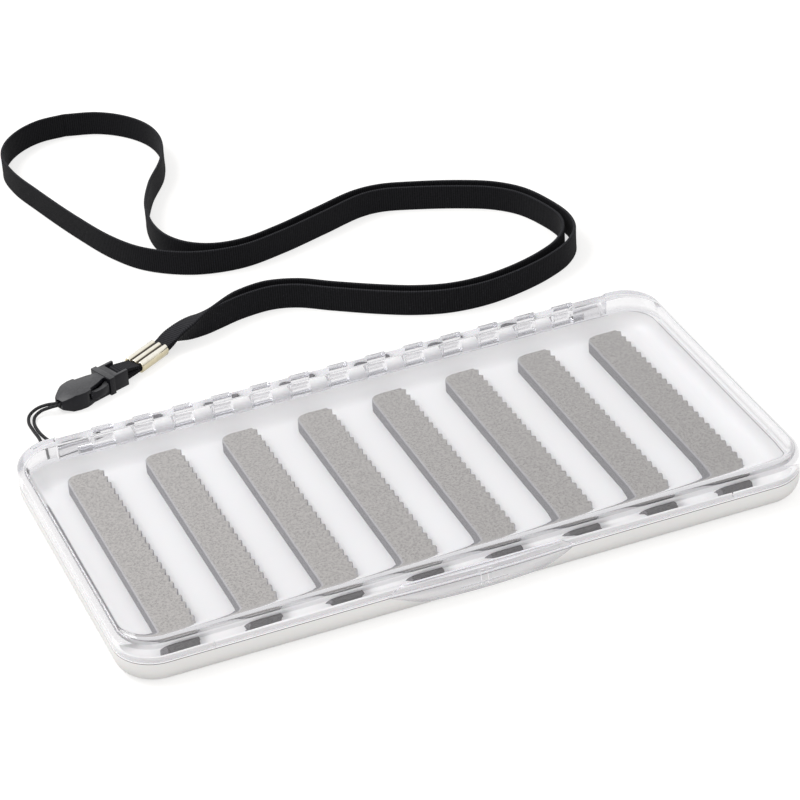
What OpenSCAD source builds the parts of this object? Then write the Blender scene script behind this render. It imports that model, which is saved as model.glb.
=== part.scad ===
// Slim lidded fly box with toothed foam strips, a clear hinged lid with a front
// latch, and a webbing lanyard with crimp, side-release buckle and cord loop.
// X runs along the box, +Y to the hinge side, +Z up. Origin: centre of the base.

/* [Case] */
// Length of the case
case_l = 189.6; // [170:0.2:210]
// Depth of the case, front wall to rear wall
case_w = 102; // [96:1:120]
// Height of the tray up to the seam
base_h = 7; // [6.5:0.1:9]
// Height of the lid above the seam
lid_h = 7; // [6:0.1:10]
// Corner radius in plan
corner_r = 11; // [9:0.5:16]
// Radius along the tray's lower edge
base_edge_r = 4.4; // [2:0.1:4.6]
// Radius along the lid's upper edge
lid_edge_r = 3.2; // [2:0.1:4]
// Gap left at the seam
seam_gap = 0.1; // [0.05:0.05:0.2]

/* [Walls] */
// Wall of the tray at the front and sides
base_wall = 2.4; // [2.2:0.1:3]
// Wall of the tray along the hinge
base_rear_wall = 3.6; // [3.5:0.1:5]
// Floor of the tray
floor_t = 1.8; // [1.2:0.1:2.4]
// Cove between tray floor and walls
base_cove_r = 4.4; // [2:0.1:4.6]
// Wall of the lid at the front and sides
lid_wall = 1.4; // [1:0.1:1.6]
// Wall of the lid along the hinge
lid_rear_wall = 4.6; // [4.4:0.1:6]
// Thickness of the lid's top
lid_top_t = 1.5; // [1:0.1:2]
// Cove inside the lid
lid_cove_r = 0.8; // [0.6:0.1:3]
// Height of the locating rim above the seam
rim_h = 1.2; // [0.6:0.1:2]
// Thickness of the locating rim
rim_t = 0.8; // [0.5:0.1:0.9]
// Clearance between rim and lid
rim_gap = 0.2; // [0.1:0.05:0.25]
// Width of the slots in the rim
rim_slot = 0.4; // [0.3:0.1:1]
// Distance of the front slots from the ends of the case
rim_slot_x = 23.3; // [18:0.1:30]
// Distance of the side slots from the front of the case
rim_slot_y = 22; // [18:0.1:30]

/* [Hinge] */
// Distance from the row of knuckles to either end of the case
hinge_end = 23.8; // [22:0.1:30]
// Number of knuckles, odd so that both ends belong to the lid
knuckle_n = 25; // [15:2:29]
// Radius of a knuckle
knuckle_r = 2.3; // [2:0.1:2.4]
// Distance of the hinge line behind the rear wall
hinge_out = 0.3; // [0.2:0.05:0.5]
// Radius of the hinge pin
pin_r = 0.75; // [0.6:0.05:0.9]
// Radial clearance round the pin
pin_gap = 0.03; // [0.02:0.01:0.05]
// Gap between neighbouring knuckles
knuckle_gap = 0.24; // [0.2:0.02:0.4]
// Clearance round a knuckle in the opposite wall
pocket_gap = 0.25; // [0.15:0.05:0.3]

/* [Lanyard eyes] */
// Length of each clear end block
lug_l = 9.6; // [8:0.2:10]
// Gap between the end block and its notch
lug_gap = 0.06; // [0.04:0.02:0.1]
// Radius of the lanyard eye
eye_r = 0.8; // [0.7:0.05:0.9]
// Height of the eye
eye_z = 3; // [2.7:0.1:3.2]
// Depth to which the pin enters an end block
pin_seat = 4; // [2:0.5:6]

/* [Latch] */
// Half length of the latch
latch_half = 26; // [20:1:32]
// How far the latch bulges from the front wall
latch_bulge = 2.3; // [1.5:0.1:3]
// Height of the grip ribs over the bulge
latch_rib = 0.3; // [0.2:0.05:0.5]
// Lowest point of the latch
latch_low = 3.6; // [2.4:0.1:3.8]
// Rise of the latch above the seam
latch_rise = 2.9; // [2:0.1:3.6]
// Drop of the arc by which the latch's lower edge turns up at both ends
latch_low_arc = 5.4; // [3.6:0.1:8]
// Rise of the arc that rounds the latch's upper ends
latch_top_arc = 9; // [3:0.5:14]
// Gap between latch and tray
latch_gap = 0.2; // [0.15:0.05:0.3]
// Bite of the snap ridge
snap_bite = 0.32; // [0.2:0.02:0.4]

/* [Foam] */
// Number of strips
strip_n = 8; // [8:1:8]
// Distance from the outer strips to the tray's end walls
strip_margin = 10.1; // [6:0.1:14]
// Width of a strip with its teeth
strip_w = 10.6; // [8:0.2:12]
// Length of a strip
strip_l = 81.4; // [70:0.2:84]
// Thickness of a strip
strip_t = 3.65; // [3:0.05:4.5]
// Distance between teeth
tooth_pitch = 3.2; // [2.4:0.1:4]
// Depth of a tooth
tooth_d = 1; // [0.6:0.1:1.6]
// Rounding of a strip's plain corners
strip_corner_r = 3; // [1:0.25:4]

/* [Lanyard] */
// Width of the webbing
web_w = 8; // [7:0.5:8]
// Width of the webbing where it is gathered
web_gather_w = 5; // [4:0.2:5.2]
// Thickness of the webbing
web_t = 0.9; // [0.7:0.1:1]
// Diameter of the thin cord
cord_d = 0.95; // [0.7:0.05:1]
// Length of the metal crimp
crimp_l = 11.6; // [10:0.2:12]
// Radius of the crimp's three lobes
crimp_lobe_r = 1.75; // [1.7:0.05:2]
// Distance between the lobes
crimp_lobe_pitch = 2.15; // [2.05:0.05:2.3]
// Height of the hollow through the crimp
crimp_bore_h = 2.4; // [2.2:0.05:2.5]
// Width of the hollow through the crimp
crimp_bore_w = 6.2; // [5.9:0.1:6.3]

/* [Buckle] */
// Length of the socket
socket_l = 17; // [16.5:0.1:18]
// Height of the socket and frame
buckle_t = 5; // [4.8:0.1:5.4]
// Height of the passage inside the socket
socket_bore_h = 2.8; // [2.6:0.1:3]
// Half width of the passage
socket_bore_half = 2.9; // [2.8:0.05:3]
// Length of the collar at the mouth
collar_l = 1.8; // [1.4:0.1:2.2]
// Half width of the collar
collar_half = 4.3; // [4.2:0.1:4.8]
// Gap between socket and frame
buckle_gap = 0.15; // [0.1:0.05:0.3]
// Length of the webbing frame
frame_l = 4.95; // [4.9:0.05:5.2]
// Half width of the webbing frame
frame_half = 3.7; // [3.6:0.05:4]
// Radius of the bar that holds the webbing
bar_r = 0.8; // [0.6:0.05:0.8]
// Radius of a prong's root
root_r = 0.6; // [0.5:0.05:0.6]
// Clearance round a prong's root
root_gap = 0.1; // [0.08:0.01:0.12]
// Height of a prong
prong_h = 2.4; // [2:0.1:2.4]
// Radius of the knot that holds the cord
knot_r = 1.3; // [1.2:0.05:1.4]
// Radius of the hole through the socket's nose
nose_r = 1.1; // [1.05:0.05:1.15]

/* [Hidden] */
$fn = 48;
eps = 0.01;
case_h = base_h + lid_h;
hinge_l = case_l - 2 * hinge_end;
strip_pitch = (case_l - 2 * (base_wall + strip_margin) - strip_w) / (strip_n - 1);
rear_y = case_w / 2;
front_y = -case_w / 2;
hinge_y = rear_y + hinge_out;
hinge_z = base_h;
knuckle_l = hinge_l / knuckle_n;
pocket_r = knuckle_r + pocket_gap;
notch_y = hinge_y - knuckle_r - 1;
lug_in_y = hinge_y - knuckle_r;
lug_out_y = hinge_y + knuckle_r;
lug_x0 = hinge_l / 2 + 0.6;
eye_y = hinge_y + 0.6;
latch_plan_r = (latch_half * latch_half + latch_bulge * latch_bulge) / (2 * latch_bulge);
latch_drop = base_h - latch_low;
latch_low_r = (latch_half * latch_half + latch_low_arc * latch_low_arc) / (2 * latch_low_arc);
latch_top_r = (latch_half * latch_half + latch_top_arc * latch_top_arc) / (2 * latch_top_arc);
strip_z = floor_t;
tooth_n = floor((strip_l - 1.4) / tooth_pitch);

// The lanyard goes with the left eye
lanyard_shift = [71.6 - lug_x0, eye_y - 51.9, 0];

// Buckle: place of the nose, turn about Z and height of its middle
buckle_at = [-71.5, 82.4, 0];
buckle_turn = 21;
buckle_z = buckle_t / 2 + 0.2;
bar_u = socket_l + buckle_gap + frame_l - bar_r;
root_u = socket_l + buckle_gap + 0.12 + root_r;
root_v = 2;
// Crimp: middle of its left mouth, turn about Z and height of its middle
crimp_at = [-45.9, 92.1, 0];
crimp_turn = 32;
crimp_z = 2.5;

// Webbing routes: x, y, z of the middle, twist (90 stands on edge), width share
outer_route = [
    [-41, 95.2, 1.95, 0, 0], [-36, 98.3, 1.95, 0, 0], [-31, 101, 2.3, 20, 1],
    [-26, 102.6, 3.3, 45, 1], [-20.5, 103.6, 4.1, 70, 1], [-15, 104.7, 4, 90, 1],
    [-8, 106.6, 4, 90, 1], [1.5, 107.3, 4, 90, 1], [8.5, 105, 4, 90, 1],
    [17, 98.6, 4, 90, 1], [29, 90, 4, 90, 1], [38, 84.7, 4, 90, 1],
    [47.5, 81.3, 4, 90, 1], [58.5, 80.4, 4, 90, 1], [70.5, 82.4, 4, 90, 1],
    [81, 86, 4, 90, 1], [89.5, 91, 4, 90, 1], [95, 97.8, 4, 90, 1],
    [96.8, 106, 4, 90, 1], [95, 117.5, 4, 90, 1], [91.3, 127.5, 4, 90, 1],
    [85, 135, 4, 90, 1], [76, 140.8, 4, 90, 1], [63, 146.8, 4, 90, 1],
    [53, 150.2, 4, 90, 1], [44.5, 150.2, 4, 90, 1], [31, 145.8, 4, 90, 1],
    [16.5, 140.9, 4, 90, 1], [4, 138.2, 4, 90, 1], [-5, 139.6, 4, 90, 1],
    [-11.5, 144, 4, 90, 1], [-15.8, 151, 4, 90, 1], [-17.3, 160, 4, 90, 1],
    [-15.5, 172, 4, 90, 1], [-9.8, 185.5, 4, 90, 1], [-1.2, 199.5, 4, 90, 1],
    [2.8, 213, 4, 90, 1], [2, 223.5, 4, 90, 1], [-2.6, 232.5, 4, 90, 1],
    [-10, 239.3, 4, 90, 1], [-20, 243, 4, 90, 1]
];
inner_route = [
    [-41, 95.2, 3.05, 0, 0], [-36, 98.3, 3.05, 0, 0], [-31.2, 101.5, 3.7, 20, 1],
    [-26.5, 103.8, 4.6, 45, 1], [-21.2, 105.7, 4.7, 70, 1], [-15.8, 107.8, 4, 90, 1],
    [-8.5, 110, 4, 90, 1], [1.5, 110.9, 4, 90, 1], [10.3, 107.8, 4, 90, 1],
    [19, 101.2, 4, 90, 1], [31, 92.8, 4, 90, 1], [39.5, 87.8, 4, 90, 1],
    [48.5, 84.5, 4, 90, 1], [58.5, 83.7, 4, 90, 1], [69.5, 85.5, 4, 90, 1],
    [79.5, 89, 4, 90, 1], [87, 93.4, 4, 90, 1], [92, 99.5, 4, 90, 1],
    [94, 106.5, 4, 90, 1], [92.4, 116.5, 4, 90, 1], [88.8, 125.7, 4, 90, 1],
    [83, 132.3, 4, 90, 1], [75, 137.4, 4, 90, 1], [62, 143.6, 4, 90, 1],
    [52.5, 147, 4, 90, 1], [45.5, 147, 4, 90, 1], [31.5, 142.3, 4, 90, 1],
    [17, 137.5, 4, 90, 1], [3, 134.6, 4, 90, 1], [-8.5, 136.2, 4, 90, 1],
    [-16.5, 140, 4, 90, 1], [-25, 147.5, 4, 90, 1], [-31, 158, 4, 90, 1],
    [-37, 176, 4, 90, 1], [-42.5, 197, 4, 90, 1], [-46, 213, 4, 90, 1],
    [-46, 224.5, 4, 90, 1], [-42.5, 233, 4, 90, 1], [-36, 239.5, 4, 90, 1],
    [-28.5, 242.8, 4, 90, 1], [-20.1, 243, 4, 90, 1]
];
// Gathered webbing from the crimp round the buckle's bar and back
fold_route = [
    [-41.1, 95.1, 1.95], [-45.5, 92.4, 1.95], [-48.6, 91.2, 1.5], [-51.6, 90, 1.25],
    [-52.6, 89.65, 1.7], [-52.95, 89.5, 2.7], [-52.6, 89.65, 3.7], [-51.6, 90, 4.15],
    [-48.6, 91.2, 3.6], [-45.5, 92.4, 3.05], [-41.1, 95.1, 3.05]
];
fold_across = [sin(24), -cos(24), 0];
// Thin cord, from the knot through the left eye and back to the knot
cord_route = [
    [-68, 83.2, 2.7], [-71.6, 81.8, 2.7], [-74.6, 82.4, 2.3], [-77.2, 83.6, 1.4],
    [-79.4, 82.8, 0.8], [-80.6, 80.2, 0.5], [-80.9, 76, 0.5], [-80.2, 71.6, 0.5],
    [-78.6, 67.6, 0.5], [-75.6, 64, 0.5], [-72, 61.4, 0.6], [-69, 59, 0.9],
    [-67.6, 56.4, 1.5], [-68, 54, 2.3], [-69.4, 52.4, 2.9], [-71.4, 51.9, 3],
    [-76.5, 51.9, 3], [-81.6, 51.9, 3], [-83.8, 52.4, 2.8], [-85.4, 54, 2.2],
    [-85.8, 56.4, 1.4], [-85, 59.2, 0.8], [-83.6, 62.4, 0.5], [-82.4, 66.4, 0.5],
    [-82, 71, 0.5], [-82.4, 76, 0.5], [-82.2, 81, 0.5], [-80.6, 84.4, 0.7],
    [-77.8, 85.4, 1.4], [-74.8, 84.2, 2.3], [-72, 82.9, 2.7], [-68.4, 84.1, 2.7]
];

// ---- rounded trays ----
// Cross-section of a tray, rounded along its lower edge
module tray_section(w, h, e) {
    translate([-w / 2, e]) square([w, h - e]);
    translate([-w / 2 + e, 0]) square([w - 2 * e, h]);
    intersection() {
        for (s = [-1, 1])
            translate([s * (w / 2 - e), e]) circle(e);
        translate([-w / 2, 0]) square([w, h]);
    }
}

// Half section of one corner, for turning about its own axis
module corner_section(r, h, e) {
    translate([0, e]) square([r, h - e]);
    square([r - e, h]);
    intersection() {
        translate([r - e, e]) circle(e);
        square([r, h]);
    }
}

// Solid tray shape, rounded in plan by r and along the bottom by e
module tray_solid(l, w, h, r, e) {
    rotate([90, 0, 90]) linear_extrude(l - 2 * r, center = true) tray_section(w, h, e);
    rotate([90, 0, 0]) linear_extrude(w - 2 * r, center = true) tray_section(l, h, e);
    for (sx = [-1, 1], sy = [-1, 1])
        translate([sx * (l / 2 - r), sy * (w / 2 - r), 0])
            rotate_extrude() corner_section(r, h, e);
}

// Plain rounded plate
module plate(l, w, h, r) {
    linear_extrude(h) {
        square([l - 2 * r, w], center = true);
        square([l, w - 2 * r], center = true);
        for (sx = [-1, 1], sy = [-1, 1])
            translate([sx * (l / 2 - r), sy * (w / 2 - r)]) circle(r);
    }
}

// Hollow of a tray or lid whose rear wall is thicker
module hollow(wall, rear, h, e) {
    r = corner_r - wall;
    translate([0, (wall - rear) / 2, 0])
        tray_solid(case_l - 2 * wall, case_w - wall - rear, h, r, min(e, r - 0.2));
}

// ---- hinge ----
function knuckle_x(i) = -hinge_l / 2 + i * knuckle_l;

module along_hinge(x, l, r) {
    translate([x, hinge_y, hinge_z]) rotate([0, 90, 0]) cylinder(h = l, r = r);
}

// Knuckle barrels of one side: first = 0 for the lid, 1 for the tray
module barrels(first) {
    for (i = [first : 2 : knuckle_n - 1])
        along_hinge(knuckle_x(i) + knuckle_gap / 2, knuckle_l - knuckle_gap, knuckle_r);
}

// Webs that carry the tray's barrels from the rear wall
module barrel_webs() {
    for (i = [1 : 2 : knuckle_n - 1])
        translate([knuckle_x(i) + knuckle_gap / 2, 0, 0])
            rotate([90, 0, 90])
                linear_extrude(knuckle_l - knuckle_gap)
                    polygon([
                        [rear_y - 1, hinge_z - seam_gap], [rear_y - 1, hinge_z - knuckle_r - 2],
                        [rear_y - eps, hinge_z - knuckle_r - 2],
                        [hinge_y + knuckle_r * cos(30), hinge_z - knuckle_r * sin(30)],
                        [hinge_y, hinge_z - seam_gap]
                    ]);
}

module pin_bore() {
    along_hinge(-hinge_l / 2 - 1, hinge_l + 2, pin_r + pin_gap);
}

// ---- case ----
module rim() {
    inset = lid_wall + rim_gap;
    intersection() {
        difference() {
            translate([0, 0, base_h - seam_gap - eps])
                plate(case_l - 2 * inset, case_w - 2 * inset, rim_h, corner_r - inset);
            translate([0, 0, base_h - 1])
                plate(case_l - 2 * inset - 2 * rim_t, case_w - 2 * inset - 2 * rim_t,
                      rim_h + 2, corner_r - inset - rim_t);
        }
        difference() {
            translate([-case_l, -case_w, 0])
                cube([2 * case_l, case_w + rear_y - corner_r - 4, case_h]);
            for (s = [-1, 1]) {
                translate([s * (case_l / 2 - rim_slot_x) - rim_slot / 2, front_y, base_h - seam_gap])
                    cube([rim_slot, 6, case_h]);
                translate([s * (case_l / 2 - 3) - 3, front_y + rim_slot_y, base_h - seam_gap])
                    cube([6, rim_slot, case_h]);
            }
        }
    }
}

// Small ridge under which the latch snaps
module snap_ridge(y, z, l) {
    translate([-l / 2, y, z]) rotate([0, 90, 0]) cylinder(h = l, r = snap_bite, $fn = 24);
}

module base_tray() {
    color([0.95, 0.95, 0.94])
        difference() {
            union() {
                difference() {
                    tray_solid(case_l, case_w, base_h - seam_gap, corner_r, base_edge_r);
                    translate([0, 0, floor_t]) hollow(base_wall, base_rear_wall, base_h, base_cove_r);
                    for (i = [0 : 2 : knuckle_n - 1])
                        along_hinge(knuckle_x(i) - knuckle_gap / 2, knuckle_l + knuckle_gap, pocket_r);
                }
                barrel_webs();
                barrels(1);
                rim();
                snap_ridge(front_y, base_h - seam_gap - 2.4, 12);
            }
            pin_bore();
            for (s = [-1, 1])
                lug_space(s);
        }
}

// Room for one end block in the tray's rear wall
module lug_space(s) {
    x0 = lug_x0 - lug_gap;
    translate([s > 0 ? x0 : -x0 - lug_l - 2 * lug_gap, lug_in_y - lug_gap, 0.8 - lug_gap])
        cube([lug_l + 2 * lug_gap, 20, case_h]);
}

// Lens whose lower and upper edges are level in the middle
module latch_body() {
    intersection() {
        translate([0, front_y - latch_bulge + latch_plan_r, 0])
            cylinder(h = case_h, r = latch_plan_r, $fn = 180);
        translate([0, 0, base_h - latch_low_arc + latch_low_r])
            rotate([90, 0, 0]) cylinder(h = case_w, r = latch_low_r, $fn = 180);
        translate([0, 0, base_h + latch_top_arc - latch_top_r])
            rotate([90, 0, 0]) cylinder(h = case_w, r = latch_top_r, $fn = 180);
        translate([-latch_half, front_y - 2 * latch_bulge, latch_low])
            cube([2 * latch_half, 2 * latch_bulge + lid_wall / 2, latch_drop + latch_rise]);
    }
}

module latch_ribs() {
    for (s = [-1, 1])
        translate([s * 0.95 - 0.45, front_y - latch_bulge - latch_rib, latch_low + 0.4])
            cube([0.9, latch_rib + 1, latch_drop + latch_rise - 0.9]);
}

module lid() {
    color([0.86, 0.9, 0.94, 0.35])
        difference() {
            union() {
                difference() {
                    translate([0, 0, case_h])
                        mirror([0, 0, 1])
                            tray_solid(case_l, case_w, lid_h - seam_gap, corner_r, lid_edge_r);
                    translate([0, 0, case_h - lid_top_t])
                        mirror([0, 0, 1]) hollow(lid_wall, lid_rear_wall, lid_h, lid_cove_r);
                    for (i = [1 : 2 : knuckle_n - 1])
                        translate([knuckle_x(i) - knuckle_gap / 2, notch_y, 0])
                            cube([knuckle_l + knuckle_gap, 20, 2 * case_h]);
                    for (s = [-1, 1])
                        translate([s > 0 ? lug_x0 - 0.4 : -lug_x0 - lug_l - 0.4, notch_y, 0])
                            cube([lug_l + 0.8, 20, 2 * case_h]);
                }
                barrels(0);
                latch_body();
                latch_ribs();
            }
            pin_bore();
            // room for the tray's front wall behind the latch
            translate([-case_l, front_y - latch_gap, -1])
                cube([2 * case_l, case_w / 2, base_h + 1]);
            // groove of the snap
            snap_ridge(front_y - latch_gap, base_h - seam_gap - 2.4, 13);
        }
}

module hinge_pin() {
    color([0.8, 0.8, 0.82])
        along_hinge(-hinge_l / 2 - pin_seat, hinge_l + 2 * pin_seat, pin_r);
}

// Clear end block that holds the pin's end and has the lanyard eye
module lug(s) {
    x0 = s > 0 ? lug_x0 : -lug_x0 - lug_l;
    color([0.86, 0.9, 0.94, 0.35])
        difference() {
            union() {
                along_hinge(x0, lug_l, knuckle_r);
                translate([x0, 0, 0]) rotate([90, 0, 90]) linear_extrude(lug_l) lug_section();
            }
            along_hinge(s > 0 ? x0 - 1 : x0 + lug_l - pin_seat, pin_seat + 1, pin_r + pin_gap);
            translate([x0 - 1, eye_y, eye_z]) rotate([0, 90, 0]) cylinder(h = lug_l + 2, r = eye_r);
        }
}

module lug_section() {
    foot = 1.4;
    translate([lug_in_y, 0.8]) square([lug_out_y - lug_in_y - foot, hinge_z - 0.8]);
    translate([lug_in_y, 0.8 + foot]) square([lug_out_y - lug_in_y, hinge_z - 0.8 - foot]);
    translate([lug_out_y - foot, 0.8 + foot]) circle(foot);
}

// ---- foam ----
// Plan of one strip: plain left edge, saw teeth along the right edge
module strip_plan() {
    r = strip_corner_r;
    w = strip_w - tooth_d;
    x0 = -strip_w / 2;
    y0 = -strip_l / 2;
    translate([x0, y0 + r]) square([w / 2, strip_l - 2 * r]);
    for (y = [y0 + r, -y0 - r])
        translate([x0 + r, y]) circle(r);
    polygon(concat(
        [[x0 + r, -y0], [x0 + r, y0], [x0 + w, y0]],
        [for (i = [tooth_n - 1 : -1 : 0]) let (y = -y0 - 0.7 - i * tooth_pitch)
            each [[x0 + w, y - tooth_pitch], [x0 + w + tooth_d, y - 0.2 * tooth_pitch]]],
        [[x0 + w, -y0 - 0.7], [x0 + w - 0.6, -y0]]
    ));
}

module foam_strip(i) {
    color([0.7, 0.69, 0.67])
        translate([(i - (strip_n + 1) / 2) * strip_pitch, 0, strip_z])
            linear_extrude(strip_t) strip_plan();
}

// ---- swept webbing and cord ----
function unit(v) = v / norm(v);
function last(a) = len(a) - 1;
function at(a, i) = [a[i][0], a[i][1], a[i][2]];
function heading(a, i) = unit(at(a, min(i + 1, last(a))) - at(a, max(i - 1, 0)));

// Direction across a ribbon: level at twist 0, upright at twist 90
function across(t, twist) =
    let (f = unit([t[0], t[1], 0])) [f[1] * cos(twist), -f[0] * cos(twist), sin(twist)];

// Eight corners of a ribbon's section, from the direction across it
function ribbon_ring(p, t, side, w, h, c = 0.2) =
    let (s = unit(side - (side * t) * t), n = cross(s, t))
    [for (q = [[w / 2 - c, h / 2], [w / 2, h / 2 - c], [w / 2, c - h / 2], [w / 2 - c, -h / 2],
               [c - w / 2, -h / 2], [-w / 2, c - h / 2], [-w / 2, h / 2 - c], [c - w / 2, h / 2]])
        p + q[0] * s + q[1] * n];

function tube_ring(p, t, r, n) =
    let (side = unit(cross(t, [0.02, 0.03, 1])), up = cross(side, t))
    [for (k = [0 : n - 1]) p + r * (cos(k * 360 / n) * side - sin(k * 360 / n) * up)];

// Closed skin over a list of rings with the same number of points
module skin(rings) {
    n = len(rings[0]);
    m = len(rings);
    polyhedron(
        points = [for (ring = rings) for (p = ring) p],
        faces = concat(
            [[for (k = [n - 1 : -1 : 0]) k]],
            [for (i = [0 : m - 2]) for (k = [0 : n - 1])
                each [[i * n + k, i * n + (k + 1) % n, (i + 1) * n + k],
                      [i * n + (k + 1) % n, (i + 1) * n + (k + 1) % n, (i + 1) * n + k]]],
            [[for (k = [0 : n - 1]) (m - 1) * n + k]]
        )
    );
}

module webbing(route) {
    skin([for (i = [0 : last(route)])
        let (t = heading(route, i), w = web_gather_w + (web_w - web_gather_w) * route[i][4])
            ribbon_ring(at(route, i), t, across(t, route[i][3]), w, web_t)]);
}

module strap_outer() {
    color([0.05, 0.05, 0.06]) translate(lanyard_shift) webbing(outer_route);
}

module strap_inner() {
    color([0.05, 0.05, 0.06]) translate(lanyard_shift) webbing(inner_route);
}

module strap_fold() {
    color([0.05, 0.05, 0.06]) translate(lanyard_shift)
        skin([for (i = [0 : last(fold_route)])
            ribbon_ring(fold_route[i], heading(fold_route, i), fold_across, web_gather_w, web_t)]);
}

module cord_loop() {
    color([0.06, 0.06, 0.07]) translate(lanyard_shift)
        skin([for (i = [0 : last(cord_route)])
            tube_ring(cord_route[i], heading(cord_route, i), cord_d / 2, 8)]);
}

// ---- lanyard hardware ----
module crimp_section() {
    difference() {
        for (k = [-1 : 1])
            translate([k * crimp_lobe_pitch, crimp_z]) circle(crimp_lobe_r);
        for (s = [-1, 1])
            translate([s * (crimp_bore_w - crimp_bore_h) / 2, crimp_z]) circle(crimp_bore_h / 2);
        translate([0, crimp_z]) square([crimp_bore_w - crimp_bore_h, crimp_bore_h], center = true);
    }
}

module strap_crimp() {
    color([0.83, 0.79, 0.68])
        translate(lanyard_shift + crimp_at) rotate([0, 0, crimp_turn]) rotate([90, 0, 90])
            linear_extrude(crimp_l) crimp_section();
}

module in_buckle() {
    translate(lanyard_shift + buckle_at) rotate([0, 0, buckle_turn]) children();
}

module along_buckle(u, l, r) {
    translate([u, 0, buckle_z]) rotate([0, 90, 0]) cylinder(h = l, r = r, $fn = 32);
}

// Plan of the socket: tapered nose, shoulders, straight part up to the collar
module socket_plan() {
    half = [[0, 1.6], [0.6, 2.1], [2.4, 3.2], [4.6, 4.1], [6.6, 4.4], [8.2, 4.2], [9.4, 3.8],
            [socket_l - collar_l + 0.2, 3.7]];
    polygon(concat(half, [for (i = [len(half) - 1 : -1 : 0]) [half[i][0], -half[i][1]]]));
}

// Side view of the socket: the nose thins towards its tip
module socket_side() {
    h = buckle_t / 2;
    polygon([[0, buckle_z - h + 1], [2.6, buckle_z - h], [socket_l, buckle_z - h],
             [socket_l, buckle_z + h], [3.4, buckle_z + h], [0, buckle_z + h - 1.2]]);
}

module buckle_socket() {
    h = socket_bore_h;
    color([0.09, 0.09, 0.1])
        in_buckle()
            difference() {
                union() {
                    intersection() {
                        linear_extrude(2 * buckle_t) socket_plan();
                        translate([0, 10, 0]) rotate([90, 0, 0]) linear_extrude(20) socket_side();
                    }
                    translate([socket_l - collar_l, -collar_half, 0])
                        cube([collar_l, 2 * collar_half, buckle_z + buckle_t / 2 + 0.2]);
                }
                // passage for the insert, with the side windows for the prongs
                translate([5.8, -socket_bore_half, buckle_z - h / 2])
                    cube([socket_l, 2 * socket_bore_half, h]);
                translate([7.6, -10, buckle_z - h / 2])
                    cube([socket_l - collar_l - 7.6, 20, h]);
                // hole for the cord and room for its knot
                along_buckle(-1, 8, nose_r);
                along_buckle(2.7, 4, knot_r + 0.15);
            }
}

module buckle_insert() {
    u0 = socket_l + buckle_gap;
    slot_u = bar_u - bar_r - 1.6;
    color([0.08, 0.08, 0.09])
        in_buckle()
            difference() {
                union() {
                    translate([u0, -frame_half, buckle_z - buckle_t / 2])
                        cube([frame_l - 2 * bar_r, 2 * frame_half, buckle_t]);
                    for (s = [-1, 1])
                        translate([u0, s > 0 ? frame_half - 0.8 : -frame_half, buckle_z - buckle_t / 2])
                            cube([frame_l, 0.8, buckle_t]);
                    translate([bar_u, frame_half - 0.4, buckle_z])
                        rotate([90, 0, 0]) cylinder(h = 2 * frame_half - 0.8, r = bar_r, $fn = 32);
                    translate([9.4, -1, buckle_z - 1.1]) cube([u0 - 9, 2, 2.2]);
                }
                // slot for the webbing
                translate([slot_u, -frame_half + 0.8, -1])
                    cube([1.6, 2 * frame_half - 1.6, 4 * buckle_t]);
                // seats of the prong roots
                for (s = [-1, 1])
                    translate([root_u, s * root_v, buckle_z - prong_h / 2 - root_gap]) {
                        cylinder(h = prong_h + 2 * root_gap, r = root_r + root_gap);
                        translate([-3, -root_r - root_gap, 0])
                            cube([3, 2 * root_r + 2 * root_gap, prong_h + 2 * root_gap]);
                    }
            }
}

// Sprung side prong, s = 1 on the left
module prong(s) {
    v = s * root_v;
    color([0.1, 0.1, 0.11])
        in_buckle()
            translate([0, 0, buckle_z - prong_h / 2]) {
                translate([root_u, v, 0]) cylinder(h = prong_h, r = root_r);
                linear_extrude(prong_h)
                    polygon([for (q = [[0, root_v + root_r], [-2.75, socket_bore_half - 0.2],
                                       [-2.85, 4.1], [-5.6, 4.75], [-8, 4.6], [-9.4, 3.6],
                                       [-9, 3.1], [-6.1, 3.3], [-3.8, 2.3], [-2.4, 1.5],
                                       [0, root_v - root_r]]) [root_u + q[0], s * q[1]]]);
            }
}

module cord_knot() {
    color([0.06, 0.06, 0.07])
        in_buckle() translate([4.2, 0, buckle_z]) sphere(r = knot_r, $fn = 32);
}

base_tray();
lid();
hinge_pin();
lug(-1);  // lanyard_lug_left
lug(1);  // lanyard_lug_right
foam_strip(1);  // foam_strip_1
foam_strip(2);  // foam_strip_2
foam_strip(3);  // foam_strip_3
foam_strip(4);  // foam_strip_4
foam_strip(5);  // foam_strip_5
foam_strip(6);  // foam_strip_6
foam_strip(7);  // foam_strip_7
foam_strip(8);  // foam_strip_8
strap_outer();
strap_inner();
strap_fold();
strap_crimp();
buckle_socket();
buckle_insert();
prong(1);  // buckle_prong_left
prong(-1);  // buckle_prong_right
cord_loop();
cord_knot();
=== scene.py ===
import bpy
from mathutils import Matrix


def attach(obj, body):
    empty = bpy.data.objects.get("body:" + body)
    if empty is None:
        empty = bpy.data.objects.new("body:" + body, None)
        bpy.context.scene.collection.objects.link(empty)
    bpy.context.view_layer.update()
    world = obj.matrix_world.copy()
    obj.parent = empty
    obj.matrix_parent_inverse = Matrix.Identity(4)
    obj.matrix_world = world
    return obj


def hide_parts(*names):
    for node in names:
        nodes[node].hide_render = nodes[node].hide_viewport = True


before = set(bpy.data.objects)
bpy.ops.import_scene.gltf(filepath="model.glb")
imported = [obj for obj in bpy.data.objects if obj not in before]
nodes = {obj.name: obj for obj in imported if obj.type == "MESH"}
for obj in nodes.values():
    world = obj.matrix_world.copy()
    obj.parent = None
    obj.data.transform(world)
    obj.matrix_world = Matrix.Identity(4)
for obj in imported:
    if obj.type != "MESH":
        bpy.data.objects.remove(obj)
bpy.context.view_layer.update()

import math

import bmesh
import bpy
import numpy as np
from mathutils import Matrix, Vector

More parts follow.
